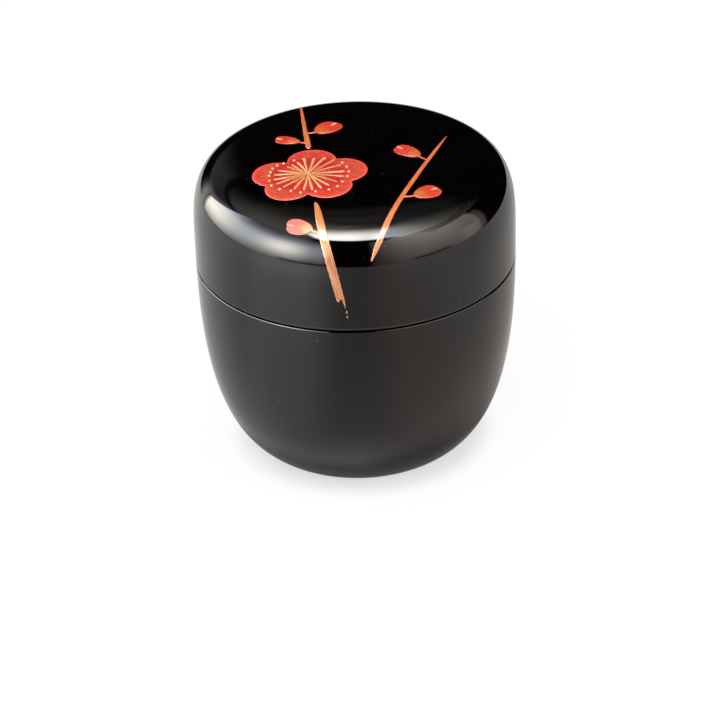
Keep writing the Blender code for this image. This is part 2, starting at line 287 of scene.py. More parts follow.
# %% Lay a flat drawing on the lid
lid_steps = np.diff(lid_outside, axis=0)
lid_reach = np.concatenate([[0.0], np.cumsum(np.hypot(lid_steps[:, 0], lid_steps[:, 1]))])
lid_along = np.gradient(lid_outside, lid_reach, axis=0)
lid_along /= np.hypot(lid_along[:, 0], lid_along[:, 1])[:, None]


def polar(points):
    """The distance of each point from the middle, and its direction."""
    return np.hypot(points[:, 0], points[:, 1]), np.arctan2(points[:, 1], points[:, 0])


def lay_on_lid(points):
    """Points of the flat drawing, with their height over the surface, as they lie on the lid."""
    reach, direction = polar(points)
    radius = np.interp(reach, lid_reach, lid_outside[:, 0])
    level = np.interp(reach, lid_reach, lid_outside[:, 1])
    outward = -np.interp(reach, lid_reach, lid_along[:, 1])
    upward = np.interp(reach, lid_reach, lid_along[:, 0])
    radius = radius + points[:, 2] * outward
    return np.column_stack(
        [radius * np.cos(direction), radius * np.sin(direction), level + points[:, 2] * upward]
    )


def read_points(piece):
    flat = np.empty(len(piece.data.vertices) * 3)
    piece.data.vertices.foreach_get("co", flat)
    return flat.reshape(-1, 3)


def write_points(piece, points):
    piece.data.vertices.foreach_set("co", np.asarray(points).ravel())
    piece.data.update()


def keep_values(piece, name, values):
    """Stores a number for each corner, or one for all corners, which the finish can read."""
    layer = piece.data.attributes.new(name, "FLOAT", "POINT")
    layer.data.foreach_set("value", np.full(len(piece.data.vertices), values, dtype=float))


print(f"the lid's surface is {lid_reach[-1] / MM:.2f} mm from its middle to the seam")

# %% [markdown]
# ## The thickness of a coat
# Raised lacquer stands about a tenth of a millimetre proud, with a soft round edge. A flat sheet
# is given that edge first, is laid on the lid, and then Solidify gives it a wall that sinks into the
# lacquer below, so that no gap shows under it.

# %% Finish a coat
COAT = 0.12 * MM
ROUND_EDGE = 0.22 * MM
SUNK = 0.10 * MM
COAT_SMOOTH = math.radians(40)


def coat_height(from_edge):
    """Height of the coat at this distance from its edge: a quarter round, then nearly flat."""
    share = np.clip(from_edge / ROUND_EDGE, 0.0, 1.0)
    return COAT * np.sqrt(np.clip(1 - (1 - share) ** 2, 0.0, 1.0))


def finish_coat(piece, slot, *nodes):
    """Lays a flat sheet on the lid and makes it a shallow solid that stands for the model's nodes."""
    write_points(piece, lay_on_lid(read_points(piece)))
    select_only(piece)
    thicken = piece.modifiers.new("coat", "SOLIDIFY")
    thicken.thickness = SUNK
    thicken.offset = -1.0
    bpy.ops.object.modifier_apply(modifier=thicken.name)
    bpy.ops.object.shade_smooth_by_angle(angle=COAT_SMOOTH)
    if nodes:
        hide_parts(*nodes)
    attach(piece, "cover")
    return piece


# %% [markdown]
# ## The blossom
# The blossom is one patch of vermilion with five round petals. Its outline is the farthest
# of five circles in each direction. A disc is inset again and again to give it rings, the finest near
# the edge, and each corner is then moved out in step with the outline.

# %% Paint the blossom
BLOSSOM_CENTRE = Vector((-8.97 * MM, -9.5 * MM))
PETALS = ((83, 5.7, 5.0), (11, 7.0, 5.0), (-52, 6.1, 5.0), (-128, 6.2, 4.9), (173, 6.5, 4.9))
EDGE_RINGS = (0.006, 0.008, 0.01, 0.014, 0.018, 0.024, 0.03, 0.04, 0.05, 0.06)
BLOSSOM_RINGS = EDGE_RINGS + (0.07,) * 9
BLOSSOM_SIDES = 440
LIP = 0.02 * MM
LIP_PLACE = 0.5 * MM
LIP_WIDTH = 0.3 * MM


def disc_of_rings(name, sides, ring_widths):
    """A flat disc of radius 1, inset from its edge inwards by these widths."""
    select_only()
    bpy.ops.mesh.primitive_circle_add(vertices=sides, radius=1.0, fill_type="TRIFAN")
    piece = named(name)
    start_edit(piece)
    for width in ring_widths:
        bpy.ops.mesh.inset(thickness=width, depth=0.0)
    end_edit()
    return piece


def petals_reach(direction):
    """How far the blossom's outline lies from its middle in these directions."""
    reach = np.zeros_like(direction)
    for petal_direction, distance, radius in PETALS:
        turn = direction - math.radians(petal_direction)
        beside = distance * np.sin(turn)
        inside = np.clip(radius**2 - beside**2, 0.0, None)
        far = np.where(inside > 0, distance * np.cos(turn) + np.sqrt(inside), 0.0)
        reach = np.maximum(reach, far)
    return reach * MM


blossom = disc_of_rings("blossom_petals", BLOSSOM_SIDES, BLOSSOM_RINGS)
points = read_points(blossom)
out, direction = polar(points)
reach = petals_reach(direction)
points[:, 0] = BLOSSOM_CENTRE.x + out * reach * np.cos(direction)
points[:, 1] = BLOSSOM_CENTRE.y + out * reach * np.sin(direction)
from_edge = (1 - out) * reach
lip = LIP * np.exp(-(((from_edge - LIP_PLACE) / LIP_WIDTH) ** 2))
points[:, 2] = coat_height(from_edge) + lip
write_points(blossom, points)
keep_values(blossom, "from_edge", from_edge / MM)
finish_coat(blossom, "vermilion_lacquer", "plum_blossom")
print("blossom corners:", len(blossom.data.vertices))

# %% [markdown]
# ## One brush stroke
# A stroke starts as a flat grid, long and narrow. Its corners are laid along a curve with a bend,
# and spread to the brush's width at each place. They lie closer at the two ends, where the stroke is
# rounded. A fork at its far end shows where the brush's hairs parted.

# %% Brush stroke
STROKE_ALONG = 150
STROKE_ACROSS = 14
WOBBLES = ((0.03, 97, 2), (0.02, 211, 0))
LEAN_SHARE = 0.12
FORK_SHARE = 0.15


def brush_stroke(
    name, start, bend, end, widths, lean=0.0, fork=None, along=STROKE_ALONG, across=STROKE_ACROSS
):
    """A flat stroke, drawn in millimetres. Widths are pairs of a share of its length and a width."""
    select_only()
    bpy.ops.mesh.primitive_grid_add(x_subdivisions=along, y_subdivisions=across, size=2.0)
    piece = named(name)
    points = read_points(piece)
    share = 0.5 - 0.5 * np.cos(math.pi * (points[:, 0] + 1) / 2)
    side = points[:, 1].copy()
    start, bend, end = (np.array(place) * MM for place in (start, bend, end))
    length = np.hypot(*(end - start))
    rest = 1 - share
    middle = np.outer(rest**2, start) + np.outer(2 * rest * share, bend) + np.outer(share**2, end)
    heading = np.outer(2 * rest, bend - start) + np.outer(2 * share, end - bend)
    heading /= np.hypot(heading[:, 0], heading[:, 1])[:, None]
    half = np.interp(share, *np.array(widths).T) * MM / 2
    half *= 1 + sum(
        size * np.sin(rate * share + shift * np.sign(side)) for size, rate, shift in WOBBLES
    )
    near = np.clip(1 - share / LEAN_SHARE, 0.0, 1.0)
    middle += heading * (near * lean * MM * side)[:, None]
    if fork is not None:
        far = np.clip(1 - rest / FORK_SHARE, 0.0, 1.0) ** 1.5
        middle += heading * (far * fork(side))[:, None]
    place = middle + np.column_stack([-heading[:, 1], heading[:, 0]]) * (half * side)[:, None]
    from_edge = (1 - np.abs(side)) * half
    from_end = np.minimum(share, rest) * length
    points[:, :2] = place
    points[:, 2] = coat_height(np.minimum(from_edge, from_end))
    write_points(piece, points)
    keep_values(piece, "along", share * length / MM)
    keep_values(piece, "across", side)
    keep_values(piece, "from_edge", np.minimum(from_edge, from_end) / MM)
    return piece


# %% [markdown]
# ## The three branches
# Each branch is a single pull of a flat brush loaded with gold: it starts fine, swells, and is
# lifted off bluntly. The lower one runs over the shoulder and down the side, and forks at its end.

# %% Paint the branches
def forked_end(side):
    """How much farther each hair of the lower branch's brush ran, across its width."""
    left = 0.55 * np.exp(-(((side + 0.5) / 0.3) ** 2))
    right = 2.4 * np.exp(-(((side - 0.78) / 0.25) ** 2))
    return (np.maximum(left, right) - 0.45) * MM


upper_branch = brush_stroke(
    "upper_branch_stroke",
    (-10.75, 26.8),
    (-10.1, 15.0),
    (-8.88, 2.0),
    (
        (0.0, 0.2), (0.13, 0.5), (0.27, 0.6), (0.48, 0.78),
        (0.68, 0.93), (0.88, 1.15), (0.97, 1.1), (1.0, 0.5),
    ),
)
finish_coat(upper_branch, "gold_lacquer", "upper_branch")

right_branch = brush_stroke(
    "right_branch_stroke",
    (19.35, 6.6),
    (11.3, -14.4),
    (3.3, -35.6),
    (
        (0.0, 0.1), (0.05, 0.4), (0.12, 0.68), (0.4, 0.9),
        (0.75, 1.05), (0.86, 1.28), (0.94, 1.0), (1.0, 0.3),
    ),
)
finish_coat(right_branch, "gold_lacquer", "right_branch")

lower_branch = brush_stroke(
    "lower_branch_stroke",
    (-7.5, -20.9),
    (-6.2, -32.4),
    (-4.3, -44.0),
    (
        (0.0, 0.5), (0.03, 0.85), (0.09, 1.1), (0.18, 1.45),
        (0.4, 1.65), (0.6, 1.95), (0.8, 2.05), (1.0, 2.1),
    ),
    lean=0.35,
    fork=forked_end,
)
keep_values(lower_branch, "tan", 1.0)
finish_coat(lower_branch, "gold_lacquer", "lower_branch")
print("strokes:", [piece.name for piece in (upper_branch, right_branch, lower_branch)])

# %% [markdown]
# ## Copies of a piece
# What repeats is modelled once. Each copy gets a mesh of its own, in which its size, turn and place
# are kept, so that its object stays at the origin. The piece that was copied is deleted at the end.

# %% Copy, join and remove
def copied(piece, name, size, degrees, place):
    """A copy with its own mesh, scaled along and across, turned and moved, all in its mesh."""
    select_only(piece)
    bpy.ops.object.duplicate(linked=False)
    copy = named(name)
    copy.scale = (size[0], size[1], 1.0)
    copy.rotation_euler = (0.0, 0.0, math.radians(degrees))
    copy.location = (place[0], place[1], 0.0)
    set_down(copy)
    return copy


def joined(pieces, name):
    select_only(*pieces)
    bpy.ops.object.join()
    return named(name)


def remove(*pieces):
    select_only(*pieces)
    bpy.ops.object.delete()


# %% [markdown]
# ## The stamens
# Fine gold filaments fan out from the middle of the blossom, each with a loose drop of gold beyond
# its tip. A filament is a thin brush stroke that swells outwards. It is drawn three times, because
# not every one starts quite at the middle. A drop is a small oval, raised like a lens. All drops
# point to the front, as the painter's brush came down.

# %% Draw the filaments and one drop
FILAMENT_LENGTH = 7.0
FILAMENT_STARTS = (0.2, 0.9, 1.7)
DROP_LENGTH = 0.40
DROP_WIDTH = 0.29
DROP_TURN = 90
PAST_TIP = 9.0

filaments = [
    brush_stroke(
        f"filament_from_{start}",
        (start, 0.0),
        (3.4, 0.16),
        (FILAMENT_LENGTH, 0.0),
        ((0.0, 0.08), (0.12, 0.13), (0.5, 0.24), (0.8, 0.4), (0.95, 0.38), (1.0, 0.18)),
        along=44,
        across=6,
    )
    for start in FILAMENT_STARTS
]
drop = disc_of_rings("drop", 20, (0.08, 0.14, 0.2, 0.25))
points = read_points(drop)
out, _ = polar(points)
points[:, 2] = COAT * np.sqrt(np.clip(1 - out**2, 0.0, 1.0))
points[:, 0] *= DROP_LENGTH * MM
points[:, 1] *= DROP_WIDTH * MM
write_points(drop, points)
for name, value in (("along", PAST_TIP), ("across", 0.0), ("from_edge", 0.2)):
    keep_values(drop, name, value)
print("one filament:", len(filaments[0].data.vertices), "corners, one drop:", len(drop.data.vertices))

# %% [markdown]
# Each filament has its own direction, in degrees from the right, and its own length in
# millimetres, and each drop has a direction and a distance. Every other filament bends the other
# way. One longer drop lies at the heart. Joined, the stamens are lifted by one coat, because they
# lie on the petals. A mirrored copy faces down, so the normals are set again.

# %% Paint the stamens
FILAMENTS = (
    (4, 7.3), (27, 7.3), (47, 7.7), (64, 7.4), (81, 6.8), (97, 6.8), (113, 5.6), (127, 5.6),
    (141, 5.4), (161, 6.5), (178, 6.8), (194, 7.1), (209, 7.1), (225, 7.0), (245, 6.6), (262, 6.6),
    (277, 6.7), (292, 6.7), (308, 6.6), (326, 6.8), (347, 7.3),
)
DROPS = (
    (115, 6.85), (98, 6.65), (80, 6.4), (63, 7.2), (33, 8.1), (18, 8.1), (3, 8.1), (-11, 7.9),
    (-29, 7.75), (-44, 8.0), (-59, 7.9), (-79, 7.4), (-102, 7.6), (-118, 7.4), (-136, 7.9),
    (-153, 8.3), (-167, 8.0), (178, 7.9), (167, 7.8), (156, 7.9), (145, 7.65), (134, 7.15),
)
HEART_PLACE = Vector((-0.26, 0.67)) * MM
HEART_SIZE = (1.9, 0.95)
HEART_TURN = 105

strokes = []
for number, (degrees, reach) in enumerate(FILAMENTS):
    size = (reach / FILAMENT_LENGTH, 1.0 if number % 2 else -1.0)
    filament = filaments[number % len(filaments)]
    strokes.append(copied(filament, f"filament_{number}", size, degrees, BLOSSOM_CENTRE))
for number, (degrees, reach) in enumerate(DROPS):
    turn = math.radians(degrees)
    place = BLOSSOM_CENTRE + Vector((math.cos(turn), math.sin(turn))) * reach * MM
    strokes.append(copied(drop, f"drop_{number}", (1.0, 1.0), DROP_TURN, place))
heart = BLOSSOM_CENTRE + HEART_PLACE
strokes.append(copied(drop, "drop_at_heart", HEART_SIZE, HEART_TURN, heart))
stamens = joined(strokes, "stamens")
start_edit(stamens)
bpy.ops.mesh.normals_make_consistent(inside=False)
end_edit()
points = read_points(stamens)
points[:, 2] += COAT
write_points(stamens, points)
upward = sum(face.normal.z * face.area for face in stamens.data.polygons)
print("share facing up:", round(upward / sum(face.area for face in stamens.data.polygons), 3))
finish_coat(stamens, "gold_lacquer", "blossom_stamens")

# %% [markdown]
# Two tiny specks lie below the fork of the lower branch. They are copies of the drop, in the gold
# finish turned a dull greyish brown.

# %% Drop the specks
SPECKS = (((-2.95, -46.6), 0.83), ((-2.92, -47.65), 0.72))
SPECK_TURN = -85
specks = [
    copied(drop, f"speck_{number}", (size, size), SPECK_TURN, Vector(place) * MM)
    for number, (place, size) in enumerate(SPECKS)
]
specks = joined(specks, "gold_specks")
keep_values(specks, "dulled", 1.0)
finish_coat(specks, "gold_lacquer")
remove(*filaments, drop)
print("stamens:", len(FILAMENTS), "filaments,", len(DROPS), "drops and", len(SPECKS), "specks")

# %% [markdown]
# ## The buds
# A bud is two red petals still folded over each other, held in a small gold cup on a short stalk, with
# a touch of pale gold in the notch between the petals. It is drawn once, one unit long and one
# unit wide, and copied five times at each bud's own length, width and direction.

# %% Draw one bud
BUD_SIDES = 72
BUD_RINGS = (0.03, 0.04, 0.06, 0.08, 0.12, 0.16, 0.2)
LAYER = 0.05 * MM
HALF_BUD = 2.0 * MM
EGG_SWELL = 0.13


def egg_patch(name, start, end, width, middle, lean, layer):
    """A flat egg along x, from start to end, with its wide part outwards. Sizes are shares of a bud."""
    piece = disc_of_rings(name, BUD_SIDES, BUD_RINGS)
    points = read_points(piece)
    out, turn = polar(points)
    swell = 1 + EGG_SWELL * np.cos(turn)
    along = (start + end) / 2 + (end - start) / 2 * out * np.cos(turn)
    across = middle + lean * along + width / 2 * out * np.sin(turn) * swell
    points[:, 0] = along
    points[:, 1] = across
    points[:, 2] = coat_height((1 - out) * HALF_BUD) + layer * LAYER
    write_points(piece, points)
    keep_values(piece, "along", along)
    keep_values(piece, "across", np.sin(turn) * out)
    keep_values(piece, "from_edge", (1 - out) * HALF_BUD / MM)
    return piece


far_petal = egg_patch("far_petal", 0.02, 0.955, 0.78, 0.06, 0.10, 0)
near_petal = egg_patch("near_petal", 0.0, 1.0, 0.82, -0.04, -0.08, 1)
bud_petals = joined([far_petal, near_petal], "bud_petals")
keep_values(bud_petals, "bud", 1.0)
keep_values(bud_petals, "from_tip", 1 - read_points(bud_petals)[:, 0])
cup_parts = [
    egg_patch("cup_far", -0.02, 0.34, 0.36, 0.02, 0.55, 2),
    egg_patch("cup_near", -0.02, 0.36, 0.36, -0.02, -0.55, 2),
    egg_patch("cup_middle", -0.03, 0.42, 0.40, 0.0, 0.0, 3),
]
touch = egg_patch("notch_touch", 0.68, 0.94, 0.09, 0.0, 0.02, 3)
keep_values(touch, "pale", 1.0)
bud_cup = joined([*cup_parts, touch], "bud_cup")
print("one bud:", len(bud_petals.data.vertices) + len(bud_cup.data.vertices), "corners")

# %% [markdown]
# Each row below is one bud: its branch, the share of the branch's length at which its stalk leaves,
# the side, the branch's width there, the stalk's length and direction, the bud's length, direction
# and width, and how much painted reflection lies on it, as a paler tone where the overhead box
# reflects in the paint. The stalk is one more brush stroke, from just inside the branch to the foot
# of the bud.

# %% Copy the buds
STALK_WIDTH = 0.5
STALK_SHAPE = ((0.0, 0.7), (0.3, 1.0), (0.9, 1.1), (1.0, 1.0))
STALK_GAP = 0.3
BRANCH_LINES = {
    "upper": ((-10.8, 26.5), (-8.9, 2.0)),
    "right": ((19.4, 6.7), (3.3, -35.5)),
    "lower": ((-7.6, -20.6), (-4.1, -45.8)),
}
BUDS = {
    "upper_right_bud": ("upper", 0.703, 1, 1.0, 1.4, -8, 6.3, 45, 5.1, 0.0),
    "upper_left_bud": ("upper", 0.893, -1, 1.2, 1.1, 142, 5.3, 158, 3.25, 0.0),
    "right_upper_bud": ("right", 0.268, -1, 0.8, 1.9, 121, 6.3, 138, 4.1, 0.0),
    "right_lower_bud": ("right", 0.618, 1, 1.0, 1.8, 12, 5.9, 33, 4.2, 0.0),
    "lower_bud": ("lower", 0.345, -1, 1.6, 1.4, 134, 5.6, 156, 3.4, 1.0),
}


def heading(degrees):
    return np.array([math.cos(math.radians(degrees)), math.sin(math.radians(degrees))])


for name, (line, share, side, width, stalk, stalk_turn, length, turn, wide, painted_reflection) in BUDS.items():
    start, end = (np.array(place) for place in BRANCH_LINES[line])
    run = end - start
    left = np.array([-run[1], run[0]]) / np.hypot(*run)
    clear = start + share * run + side * left * (width / 2 + STALK_GAP)
    base = clear + stalk * heading(stalk_turn)
    root = start + share * run + side * left * width / 5
    knee = clear + 0.3 * (base - clear)
    widths = [(at, wide_share * STALK_WIDTH) for at, wide_share in STALK_SHAPE]
    tip = base + 0.15 * length * heading(turn)
    twig = brush_stroke(f"{name}_stalk", root, knee, tip, widths, along=20, across=6)
    size = (length * MM, wide * MM)
    cup = copied(bud_cup, f"{name}_cup", size, turn, base * MM)
    gold_parts = joined([cup, twig], f"{name}_gold")
    petals = copied(bud_petals, f"{name}_petals", size, turn, base * MM)
    for piece in (petals, gold_parts):
        keep_values(piece, "painted_reflection", painted_reflection)
    finish_coat(petals, "vermilion_lacquer", name)
    finish_coat(gold_parts, "gold_lacquer", name)
remove(bud_petals, bud_cup)
print("buds:", ", ".join(BUDS))

# %% [markdown]
# ## Shader maths as Python
# A finish is a net of nodes. To keep it readable, a socket is wrapped in a small class whose
# plus, minus, times and divide add Math nodes. Every other node comes from one method, which takes
# its kind, what goes into its sockets and its settings.

# %% Node helpers
LACQUER_IOR = 1.5


class Flow:
    """A number that flows from a node. Arithmetic on it adds Math nodes."""

    def __init__(self, finish, socket):
        self.finish = finish
        self.socket = socket

    def __add__(self, other):
        return self.finish.maths("ADD", self, other)

    def __sub__(self, other):
        return self.finish.maths("SUBTRACT", self, other)

    def __mul__(self, other):
        return self.finish.maths("MULTIPLY", self, other)

    def __truediv__(self, other):
        return self.finish.maths("DIVIDE", self, other)

    def __rsub__(self, other):
        return self.finish.maths("SUBTRACT", other, self)

    __radd__ = __add__
    __rmul__ = __mul__


class Finish:
    """One material and its nodes."""

    def __init__(self, name, tree=None):
        if tree is None:
            self.material = bpy.data.materials.new(name)
            self.material.use_nodes = True
            tree = self.material.node_tree
        self.tree = tree
        self.tree.nodes.clear()

    def node(self, kind, inputs=None, settings=None, output=0):
        """Adds a node, sets it up, fills its sockets with values or links, and gives an output."""
        node = self.tree.nodes.new(f"ShaderNode{kind}")
        for key, value in (settings or {}).items():
            setattr(node, key, value)
        for key, value in (inputs or {}).items():
            if isinstance(value, Flow):
                self.tree.links.new(value.socket, node.inputs[key])
            else:
                node.inputs[key].default_value = value
        return Flow(self, node.outputs[output]) if node.outputs else None

    def maths(self, operation, *values):
        return self.node("Math", dict(enumerate(values)), {"operation": operation})

    def smooth(self, value, low, high):
        """0 below low, 1 above high, and a smooth rise between."""
        inputs = {"Value": value, "From Min": low, "From Max": high}
        return self.node("MapRange", inputs, {"interpolation_type": "SMOOTHSTEP"})

    def fall(self, value, low, high):
        """1 below low, 0 above high, and a smooth fall between."""
        return 1 - self.smooth(value, low, high)

    def between(self, value, low, high, soft):
        """1 between low and high, with soft ends."""
        rise = self.smooth(value, low - soft, low + soft)
        return rise * self.fall(value, high - soft, high + soft)

    def bump_at(self, value, middle, width):
        """A soft bump round the middle."""
        away = (value - middle) / width
        return self.maths("EXPONENT", away * away * -1.0)

    def noise(self, vector, scale, detail=2.0, roughness=0.5):
        inputs = {"Vector": vector, "Scale": scale, "Detail": detail, "Roughness": roughness}
        return self.node("TexNoise", inputs)

    def relief(self, height, strength, depth=0.03 * MM):
        """The shading of a fine relief, by its height from 0 to 1."""
        inputs = {"Strength": strength, "Distance": depth, "Height": height}
        return self.node("Bump", inputs)

    def rays(self, *kinds):
        """For each kind of ray, 1 where such a ray looks."""
        outputs = self.node("LightPath").socket.node.outputs
        return [Flow(self, outputs[f"Is {kind} Ray"]) for kind in kinds]

    def mix(self, share, first, second):
        """A colour between two, by share."""
        inputs = {0: share, 6: first, 7: second}
        return self.node("Mix", inputs, {"data_type": "RGBA"}, 2)

    def attribute(self, name):
        return self.node("Attribute", None, {"attribute_name": name}, 2)

    def coordinates(self):
        return self.node("TexCoord", output=3)

    def parts(self, vector):
        """The x, y and z of a vector."""
        split = self.node("SeparateXYZ", {"Vector": vector})
        outputs = split.socket.node.outputs
        return tuple(Flow(self, outputs[index]) for index in range(3))

    def from_blossom(self, place):
        """How far a place lies to the right of the blossom's middle, and how far behind it."""
        shift = {"Vector": place, "Location": (-BLOSSOM_CENTRE.x, -BLOSSOM_CENTRE.y, 0.0)}
        aside, behind, _ = self.parts(self.node("Mapping", shift))
        return aside, behind

    def vector(self, x, y, z):
        return self.node("CombineXYZ", {"X": x, "Y": y, "Z": z})

    def scaled(self, colour, factor):
        """A colour made brighter or darker by a number."""
        return self.node("VectorMath", {0: colour, 3: factor}, {"operation": "SCALE"})

    def length(self, vector):
        return self.node("VectorMath", {0: vector}, {"operation": "LENGTH"}, 1)

    def degrees_round(self, x, front):
        """The direction round the axis in degrees, 0 in front and growing to the right."""
        return self.maths("ARCTAN2", x, front) * math.degrees(1)

    def surface(self, colour, roughness, normal, more=None):
        """The shader of the finish, joined to the material's output."""
        inputs = {"Base Color": colour, "Roughness": roughness, "Normal": normal, "IOR": LACQUER_IOR}
        shader = self.node("BsdfPrincipled", {**inputs, **(more or {})})
        self.node("OutputMaterial", {"Surface": shader})
        return self.material


def rgb(red, green, blue):
    """A colour as it is read off a screen, from 0 to 255, in linear light."""
    shares = np.array([red, green, blue]) / 255
    linear = np.where(shares <= 0.04045, shares / 12.92, ((shares + 0.055) / 1.055) ** 2.4)
    return (*[float(value) for value in linear], 1.0)


def dress(piece, material):
    piece.data.materials.clear()
    piece.data.materials.append(material)


# %% [markdown]
# ## Black lacquer
# Polished lacquer is almost pure black under a mirror-smooth skin. What tells it from plastic is
# faint: the polish is a little uneven, and the skin waves by a few thousandths of a millimetre.
# The lid's edge is rubbed a little grey by use, and a few grains of dust lie on both pieces.

# %% Black lacquer
black = Finish("black_lacquer")
place = black.coordinates()
cloud = black.noise(place, 90.0, 3.0)
polish = black.noise(place, 900.0, 4.0, 0.65)
speck = black.noise(place, 5200.0, 2.0)
tone = black.mix(cloud, (0.0006, 0.0002, 0.0003, 1.0), (0.0013, 0.0006, 0.0007, 1.0))
_, _, height = black.parts(place)
above_seam = (height - SEAM) / MM
rubbed = black.between(above_seam, 0.4, 0.85, 0.12) * (0.6 + 0.4 * cloud)
dust = black.smooth(black.noise(place, 1300.0, 0.0), 0.83, 0.86)
tone = black.mix(rubbed + dust, tone, (0.022, 0.021, 0.02, 1.0))
wave = black.noise(place, 55.0, 2.0) * 0.8 + polish * 0.05
normal = black.relief(wave, 0.25, 0.04 * MM)
gloss = 0.035 + 0.03 * black.smooth(polish, 0.35, 0.8)
gloss = gloss + 0.04 * black.smooth(speck, 0.72, 0.8)
black_lacquer = black.surface(tone, gloss, normal)
dress(turned_body, black_lacquer)
dress(turned_lid, black_lacquer)

# %% [markdown]
# ## Vermilion
# The red is pigment stirred into lacquer. The brush leaves it thicker, and so lighter, along the edge
# of each petal. Between the stamens it is painted deeper red in streaks, a painted shade between the
# raised filaments. Gold dust is sprinkled over the heart.

# %% Vermilion lacquer
red = Finish("vermilion_lacquer")
place = red.coordinates()
aside, behind = red.from_blossom(place)
middle_distance = red.length(red.vector(aside, behind, 0.0)) / MM
round_angle = red.maths("ARCTAN2", behind, aside)
rays = red.noise(red.vector(round_angle * 6.0, middle_distance * 0.35, 0.0), 1.0, 2.0)
mottle = red.noise(place, 620.0, 4.0, 0.6)
grain = red.noise(place, 6000.0, 3.0, 0.6)
body_red = red.mix(red.smooth(mottle, 0.38, 0.62), rgb(208, 60, 48), rgb(201, 84, 55))
in_blossom = red.fall(middle_distance, 11.6, 12.0)
# Painted shade: deeper red streaks in the ring of the stamens stand for the shade between filaments.
stamen_shade = red.between(middle_distance, 3.0, 7.6, 1.4) * red.smooth(rays, 0.25, 0.5) * in_blossom
deep_red = red.mix(stamen_shade * 0.85, body_red, rgb(192, 22, 36))
left_dust = red.bump_at(aside / MM, -2.7, 1.5) * red.bump_at(behind / MM, 0.1, 1.5)
right_dust = red.bump_at(aside / MM, 2.3, 1.4) * red.bump_at(behind / MM, 0.6, 1.2) * 0.6
dust = (left_dust + right_dust) * red.smooth(red.noise(place, 1500.0, 3.0), 0.3, 0.6)
dusted = red.mix(dust * 0.9, deep_red, rgb(212, 134, 80))
bud_tone = red.mix(red.smooth(mottle, 0.35, 0.7), rgb(214, 48, 33), rgb(201, 70, 43))
near_cup = red.smooth(red.attribute("from_tip"), 0.3, 0.9)
bud_red = red.mix(near_cup * 0.85, bud_tone, rgb(192, 96, 54))
# The lowest bud's red is painted paler. This is a painted reflection of the overhead box on it.
bud_red = red.mix(red.attribute("painted_reflection") * 0.45, bud_red, rgb(246, 160, 146))
petal_red = red.mix(red.attribute("bud"), dusted, bud_red)
rim = red.fall(red.attribute("from_edge"), 0.15, 0.9)
rim = rim * (0.8 - 0.6 * red.attribute("bud"))
edge_red = red.mix(rim, petal_red, rgb(246, 88, 76))
normal = red.relief(mottle + grain * 0.4, 0.3)
vermilion_lacquer = red.surface(edge_red, 0.22 + 0.1 * mottle, normal)

# %% [markdown]
# ## Gold
# The gold is a warm powder laid in the wet lacquer. A flat brush leaves fine streaks along the
# stroke, lighter where the powder lies thick. The streaks follow the stroke's own length and width.
# On the stamens a painted highlight, a paler tone, lies where they run to the front or back. On the
# drops the gold lies thicker.

# %% Gold lacquer
def powder_and_patches(finish, patch_scale):
    """The grain of the gold powder, and wider patches where it lies thick."""
    place = finish.coordinates()
    return finish.noise(place, 7000.0, 3.0, 0.7), finish.noise(place, patch_scale, 3.0)


gold = Finish("gold_lacquer")
powder, patches = powder_and_patches(gold, 420.0)
along = gold.attribute("along")
aside = gold.attribute("across")
streaks = gold.noise(gold.vector(along * 0.16, aside * 3.2, 0.0), 1.0, 4.0, 0.65)
streaked = gold.smooth(streaks, 0.4, 0.6)
bright_gold = gold.mix(streaked, rgb(208, 88, 32), rgb(242, 134, 66))
tan_gold = gold.mix(streaked, rgb(196, 102, 40), rgb(226, 148, 84))
_, _, height = gold.parts(gold.coordinates())
# Below the shoulder the lower branch is painted darker, a painted shade on the upright wall.
wall_shade = gold.fall(height / MM, 57.5, 61.5)
tan_gold = gold.mix(wall_shade, tan_gold, gold.mix(streaked, rgb(158, 84, 30), rgb(190, 120, 60)))
base_gold = gold.mix(gold.attribute("tan"), bright_gold, tan_gold)
# The two specks below the fork are turned a dull greyish brown.
base_gold = gold.mix(gold.attribute("dulled"), base_gold, rgb(120, 86, 80))
warm = gold.mix(gold.smooth(patches, 0.4, 0.75) * 0.3, base_gold, rgb(222, 148, 94))
sparkled = gold.mix(gold.smooth(powder, 0.58, 0.75) * 0.2, warm, rgb(240, 190, 140))
normal = gold.relief(streaks + powder * 0.5, 0.4)
clear_coat = {"Coat Weight": 1.0, "Coat Roughness": 0.13, "Coat IOR": 1.8}
gold_lacquer = gold.surface(sparkled, 0.36 + 0.12 * powder, normal, clear_coat)

cup = Finish("cup_lacquer")
powder, patches = powder_and_patches(cup, 900.0)
base_cup = cup.mix(cup.smooth(patches, 0.4, 0.65), rgb(208, 88, 50), rgb(202, 112, 60))
tone = cup.mix(cup.attribute("pale"), base_cup, rgb(244, 186, 144))
# Its cup is painted paler too, as part of the same painted reflection.
tone = cup.mix(cup.attribute("painted_reflection") * 0.7, tone, rgb(228, 184, 132))
normal = cup.relief(powder, 0.4)
cup_lacquer = cup.surface(tone, 0.16 + 0.12 * powder, normal)

pale = Finish("pale_gold_lacquer")
powder, patches = powder_and_patches(pale, 420.0)
outward = pale.smooth(pale.attribute("along"), 0.8, 5.0)
inner_tone = rgb(179, 113, 64)
outer_tone = pale.mix(pale.smooth(patches, 0.4, 0.62), rgb(181, 117, 68), rgb(204, 155, 98))
base_pale = pale.mix(outward, inner_tone, outer_tone)
aside, behind = pale.from_blossom(pale.coordinates())
